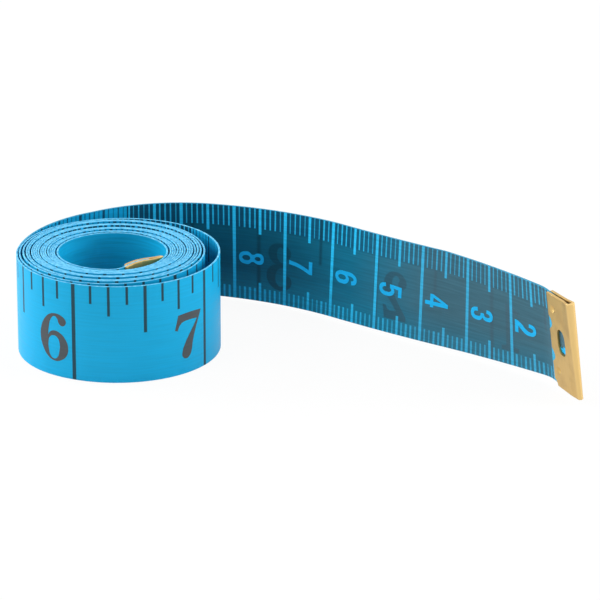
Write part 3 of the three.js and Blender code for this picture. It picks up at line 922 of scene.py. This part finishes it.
def into_film(bm, base, ink):
    """Cuts a flat figure into narrow steps along the tape, so that it can roll, and gives it thickness."""
    xs = [vert.co.x for vert in bm.verts]
    for step in range(1, math.ceil((max(xs) - min(xs)) / FIGURE_STEP)):
        cut = Vector((min(xs) + step * FIGURE_STEP, 0, 0))
        everything = bm.verts[:] + bm.edges[:] + bm.faces[:]
        bmesh.ops.bisect_plane(bm, geom=everything, plane_co=cut, plane_no=(1, 0, 0))
    bmesh.ops.dissolve_degenerate(bm, dist=FIGURE_SLIVER, edges=bm.edges[:])
    bmesh.ops.translate(bm, verts=bm.verts[:], vec=(0, 0, base))
    thicken(bm, ink)
    soften(bm)


def gather(parts):
    """One mesh of several."""
    whole = bmesh.new()
    for part in parts:
        mesh = bpy.data.meshes.new("part")
        part.to_mesh(mesh)
        part.free()
        whole.from_mesh(mesh)
        bpy.data.meshes.remove(mesh)
    map_print(whole)
    return whole


def inch_figures(sizes, start, stop, lead, base, ink, soft=False):
    """The inch figures between two readings, in the flat, up to the last that shows."""
    parts = []
    for number in range(1, LAST_INCH + 1):
        middle = number * INCH - lead - sizes.inch_figure_space
        if start <= middle < stop:
            bm = drawn_figure(SERIF_FIGURES, str(number))
            place = Matrix.Translation((middle, sizes.inch_figure_foot, 0))
            scaled = Matrix.Scale(sizes.inch_figure, 4)
            bmesh.ops.transform(bm, verts=bm.verts[:], matrix=place @ scaled)
            if soft:
                blur_rim(bm)
            into_film(bm, base, ink)
            parts.append(bm)
    return gather(parts) if parts else None


def centimetre_figures(sizes, start, stop, odd):
    """The centimetre figures between two readings, in the flat, with their heads towards the zero end: those
    in the odd decimetres, or those in the even ones."""
    body = sizes.centimetre_figure
    # A quarter turn, and mirrored, because this face is seen from below
    quarter = Matrix(((0, -1, 0, 0), (-1, 0, 0, 0), (0, 0, 1, 0), (0, 0, 0, 1)))
    parts = []
    for number in range(1, math.ceil(stop / CENTIMETRE) + 1):
        foot = number * CENTIMETRE - sizes.centimetre_figure_space
        if start <= foot - body / 2 < stop and int(foot / DECIMETRE) % 2 == odd:
            digits = str(number)
            for at, digit in enumerate(digits):
                bm = drawn_figure(PLAIN_FIGURES, digit)
                aside = (at - (len(digits) - 1) / 2) * FIGURE_ADVANCE / FIGURE_BODY * body
                place = Matrix.Translation((foot, sizes.centimetre_figure_middle - aside, 0))
                bmesh.ops.transform(bm, verts=bm.verts[:], matrix=place @ quarter @ Matrix.Scale(body, 4))
                into_film(bm, -sizes.thickness / 2, -sizes.ink)
                parts.append(bm)
    return gather(parts) if parts else None


def tape_length(context, route, name, start, stop, step, figures=True):
    """A length of printed tape on its route, and its figures as further pieces."""
    sizes = context.scene.tape_sizes
    colours = context.scene.tape_colours
    print_stop = route.coil_stop - PRINT_STOP
    strip = flat_strip(sizes, start, stop, step)
    route.roll(strip)
    piece = to_object(strip, name, [
        finish("Blue vinyl, centimetre print", centimetre_vinyl, colours, print_stop, False),
        finish("Blue vinyl, inch print", inch_vinyl, colours),
        finish("Cut glass cloth", cut_edge, colours),
    ])
    films = []
    if figures:
        half = sizes.thickness / 2
        shadow = -sizes.ink * SHADOW_FILM
        films = [
            (f"{name}_inches", inch_figures(sizes, start, stop, INCH_LEAD, half, sizes.ink),
             finish("Black screen ink", screen_ink, colours.black)),
            (f"{name}_centimetres_even", centimetre_figures(sizes, start, stop, 0),
             finish("Blue screen ink", screen_ink, colours.figure_blue)),
            (f"{name}_centimetres_odd", centimetre_figures(sizes, start, stop, 1),
             finish("Dark screen ink", screen_ink, colours.mark)),
            (f"{name}_shadows", inch_figures(sizes, start, stop, SHADOW_LEAD, -half, shadow, True),
             finish("Blue vinyl, print showing through", centimetre_vinyl, colours, print_stop, True)),
        ]
    pieces = []
    for film_name, film, material in films:
        if film:
            route.roll(film)
            pieces.append(to_object(film, film_name, [material]))
    return piece, pieces


class TAPE_OT_coil(bpy.types.Operator):
    """Roll the tape into its coil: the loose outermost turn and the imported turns"""
    bl_idname = "tape_measure.coil"
    bl_label = "Coil"

    def execute(self, context):
        sizes = context.scene.tape_sizes
        route = TapeRoute(sizes)
        first = LEAVE_READING + FIRST_REACH
        packed = route.reading_at(PACKED_FROM)
        last = route.coil_stop - INNER_REACH
        for name, start, stop, figures in (("ribbon_outer_turn", first, packed, True),
                                           ("ribbon_packed_turns", packed, last, False)):
            piece, films = tape_length(context, route, name, start, stop, COIL_STEP, figures)
            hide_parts("tape_coil")
            for each in [piece, *films]:
                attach(each, "coil")
        return {"FINISHED"}


class TAPE_OT_tail(bpy.types.Operator):
    """Run the tail from the coil to the zero end, in lengths that each bend at one hinge"""
    bl_idname = "tape_measure.tail"
    bl_label = "Tail"

    def execute(self, context):
        sizes = context.scene.tape_sizes
        route = TapeRoute(sizes)
        tab = context.scene.tab_sizes
        zero_hinge = LEAVE_READING - route.tail_length
        tape_start = zero_hinge - BARE_END - TAPE_IN_TAB * tab.length
        for number, (joint, node) in enumerate(zip(TAIL_JOINTS, TAIL_NODES)):
            hinge = LEAVE_READING - number * FLEX_SPACING
            start = tape_start if joint == "zero_end_flex" else hinge - FLEX_SPACING / 2
            stop = hinge + (FIRST_REACH if number == 0 else FLEX_SPACING / 2)
            piece, films = tape_length(context, route, f"ribbon_bend_{number + 1}", start, stop, TAIL_STEP)
            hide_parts(node)
            reach = END_REACH if joint == "zero_end_flex" else FLEX_REACH
            near, far = (route.station(hinge + way * reach)[0] for way in (1, -1))
            for each in [piece, *films]:
                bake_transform(each)
        return {"FINISHED"}


class TAPE_OT_inner_end(bpy.types.Operator):
    """Bend the inner end of the tape off the wall of the eye, into its tab"""
    bl_idname = "tape_measure.inner_end"
    bl_label = "Inner End"

    def execute(self, context):
        sizes = context.scene.tape_sizes
        route = TapeRoute(sizes)
        tab = context.scene.tab_sizes
        start = route.coil_stop - INNER_REACH
        stop = route.coil_stop + INNER_BARE_END + TAPE_IN_TAB * tab.length
        piece, films = tape_length(context, route, "ribbon_inner_end", start, stop, TAIL_STEP, False)
        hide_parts("tape_inner_end")
        near, far = (route.station(route.coil_stop + way * END_REACH)[0] for way in (-1, 1))
        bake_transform(piece)
        return {"FINISHED"}


def folded(tab, half_fold, total, along, height):
    """Where a point of the blank goes when it is folded: X from the open edge, Y out of the second leaf.
    Each half of the blank is a straight leaf, a quarter round a corner and half of the fold's width."""
    straight = tab.length - tab.sheet / 2 - tab.corner
    quarter = math.pi / 2 * tab.corner
    half = half_fold + tab.splay * height / TAPE_WIDTH
    side = -1 if along < total / 2 else 1
    run = min(along, total - along)
    if run <= straight:
        opened = smooth((run / straight - OPENS_FROM) / (1 - OPENS_FROM))
        return run, side * (tab.pinch + (half - tab.pinch) * opened)
    if run <= straight + quarter:
        turn = (run - straight) / tab.corner
        inset = tab.corner * (1 - math.cos(turn))
        return straight + tab.corner * math.sin(turn), side * (half - inset)
    share = (total / 2 - run) / (total / 2 - straight - quarter)
    return straight + tab.corner, side * (half - tab.corner) * share


def stamped_tab(sizes, tab, flares, half_fold):
    """A tab in its own frame: a blank with a window, nicks and dimples, folded round the end of the tape.
    X runs from the open edge to the fold, Z along the tape's width, and the window is on the -Y side."""
    total = 2 * (tab.length - tab.sheet / 2 - tab.corner + math.pi / 2 * tab.corner + half_fold - tab.corner)
    bm = bmesh.new()
    place = Matrix.Translation((total / 2, 0, 0)) @ Matrix.Diagonal((total, sizes.width, 1, 1))
    bmesh.ops.create_grid(bm, x_segments=round(total / TAB_CELL), y_segments=round(sizes.width / TAB_CELL),
                          size=0.5, matrix=place)

    def off_window(co):
        """How far a point is from the middle of the window, where 1 is its rim."""
        off = Vector(((co.x - tab.window_setback) * 2 / tab.window_width,
                      (co.y - tab.window_rise) * 2 / tab.window_height))
        return (abs(off.x) ** WINDOW_SQUARENESS + abs(off.y) ** WINDOW_SQUARENESS) ** (1 / WINDOW_SQUARENESS)

    inside = [face for face in bm.faces if off_window(face.calc_center_median()) < 1]
    bmesh.ops.delete(bm, geom=inside, context="FACES")
    for vert in bm.verts:
        off = off_window(vert.co)
        if vert.is_boundary and off < RIM_REACH:
            vert.co.x = tab.window_setback + (vert.co.x - tab.window_setback) / off
            vert.co.y = tab.window_rise + (vert.co.y - tab.window_rise) / off
    map_print(bm)
    for vert in bm.verts:
        along, height = vert.co.xy
        if along < total / 2:
            bite = sum(max(0, 1 - ((height - middle) / reach) ** 2) for middle, reach in NICKS)
            along += tab.nick_depth * bite * max(0, 1 - along / (NICK_FADE * tab.nick_depth))
        x, y = folded(tab, half_fold, total, along, height)
        for dent_x, dent_z in DIMPLES:
            off = math.hypot(along - dent_x, height - dent_z) / tab.dimple
            if off < 1:
                y += tab.dimple_depth * (1 - off ** 2)
        flare = flares[0] if height > 0 else flares[1]
        taper = 1 - TAB_TAPER * height / sizes.width
        vert.co = (x * taper, y, height * (1 + 2 * flare / sizes.width * x / tab.length))
    return bm


class TAPE_OT_tabs(bpy.types.Operator):
    """Stamp, fold and crimp the two brass tabs"""
    bl_idname = "tape_measure.tabs"
    bl_label = "Brass Tabs"

    def execute(self, context):
        sizes = context.scene.tape_sizes
        tab = context.scene.tab_sizes
        route = TapeRoute(sizes)
        ends = (
            ("brass_zero_tab", "zero_tab", "zero_end", LEAVE_READING - route.tail_length - BARE_END, -1,
             (tab.upper_flare, tab.lower_flare), tab.half_fold, TAB_SKEW),
            ("brass_inner_tab", "inner_tab", "inner_end", route.coil_stop + INNER_BARE_END, 1,
             (0, 0), tab.inner_half_fold, 0),
        )
        for name, node, body, reading, way, flares, half_fold, skew in ends:
            bm = stamped_tab(sizes, tab, flares, half_fold)
            onto_tape = Matrix((
                (way, 0, skew, reading),
                (0, 0, -way, sizes.width / 2),
                (0, 1, 0, 0),
                (0, 0, 0, 1),
            ))
            bmesh.ops.transform(bm, verts=bm.verts[:], matrix=onto_tape)
            route.roll(bm)
            bmesh.ops.recalc_face_normals(bm, faces=bm.faces[:])
            for face in bm.faces:
                face.smooth = True
            piece = to_object(bm, name, [finish("Satin sheet brass", satin_brass, tab)])
            wall = piece.modifiers.new("Sheet", "SOLIDIFY")
            wall.thickness = tab.sheet
            wall.offset = 0
            edge = piece.modifiers.new("Edges", "BEVEL")
            edge.width = TAB_EDGE_ROUND
            edge.segments = 2
            edge.limit_method = "ANGLE"
            edge.angle_limit = TAB_EDGE_ANGLE
            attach(piece, body)
            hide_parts(node)
        return {"FINISHED"}


def seen_white(tree, lit, strength):
    """White where the camera, a glossy surface or glass sees it, and the lit surface for the rest."""
    path = add(tree, "LightPath").node.outputs
    seen = path["Is Camera Ray"]
    for name in ("Is Glossy Ray", "Is Transmission Ray"):
        seen = add(tree, "Math", (seen, path[name]), operation="MAXIMUM")
    share = add(tree, "Math", (seen, strength), operation="MULTIPLY")
    return add(tree, "MixShader", (share, lit, add(tree, "Emission", (WHITE, 1))))


class TAPE_OT_stage(bpy.types.Operator):
    """Set the camera, the pale floor and the soft lights"""
    bl_idname = "tape_measure.stage"
    bl_label = "Stage"

    def execute(self, context):
        scene = context.scene
        stage = scene.tape_stage
        scene.view_settings.view_transform = "Standard"
        camera = bpy.data.objects.new("camera", bpy.data.cameras.new("camera"))
        camera.data.lens = stage.lens
        camera.data.sensor_width = SENSOR_WIDTH
        camera.location = CAMERA_PLACE
        camera.rotation_euler = (CAMERA_TILT, 0, 0)
        scene.collection.objects.link(camera)
        scene.camera = camera

        bm = bmesh.new()
        bmesh.ops.create_grid(bm, x_segments=1, y_segments=1, size=FLOOR_SIZE)
        material, tree = new_material("Pale floor")
        lit = add(tree, "BsdfDiffuse", (stage.floor,))
        add(tree, "OutputMaterial", (seen_white(tree, lit, FLOOR_WHITE),))
        to_object(bm, "floor", [material])

        world = bpy.data.worlds.new("Room")
        scene.world = world
        world.use_nodes = True
        tree = world.node_tree
        tree.nodes.clear()
        room = add(tree, "Background", (WHITE, stage.world))
        add(tree, "OutputWorld", (seen_white(tree, room, 1.0),))

        middle = Vector((0, 0, TAPE_WIDTH / 2))
        for side, (place, size) in SOFTBOXES.items():
            name = f"{side} softbox"
            lamp = bpy.data.objects.new(name, bpy.data.lights.new(name, "AREA"))
            lamp.data.energy = getattr(stage, f"{side}_light")
            lamp.data.size = size
            lamp.location = place
            lamp.rotation_euler = (middle - Vector(place)).to_track_quat("-Z", "Y").to_euler()
            scene.collection.objects.link(lamp)
        return {"FINISHED"}


OPERATORS = (TAPE_OT_stage, TAPE_OT_coil, TAPE_OT_tail, TAPE_OT_inner_end, TAPE_OT_tabs)
SETTINGS = {
    "tape_sizes": TapeSizes,
    "tape_colours": TapeColours,
    "tab_sizes": TabSizes,
    "tape_stage": StageSettings,
}


class TAPE_PT_sidebar(bpy.types.Panel):
    """The tape measure's pieces and settings"""
    bl_idname = "TAPE_PT_sidebar"
    bl_label = "Tape Measure"
    bl_space_type = "VIEW_3D"
    bl_region_type = "UI"
    bl_category = "Tape Measure"

    def draw(self, context):
        for operator in OPERATORS:
            self.layout.operator(operator.bl_idname)
        for group in SETTINGS:
            settings = getattr(context.scene, group)
            for name in settings.__annotations__:
                self.layout.prop(settings, name)


CLASSES = (*SETTINGS.values(), *OPERATORS, TAPE_PT_sidebar)


def register():
    for each in CLASSES:
        bpy.utils.register_class(each)
    for name, group in SETTINGS.items():
        setattr(bpy.types.Scene, name, PointerProperty(type=group))


def unregister():
    for name in SETTINGS:
        delattr(bpy.types.Scene, name)
    for each in reversed(CLASSES):
        bpy.utils.unregister_class(each)


def main():
    register()
    bpy.ops.tape_measure.stage()
    bpy.ops.tape_measure.coil()
    bpy.ops.tape_measure.tail()
    bpy.ops.tape_measure.inner_end()
    bpy.ops.tape_measure.tabs()


if __name__ == "__main__":
    main()
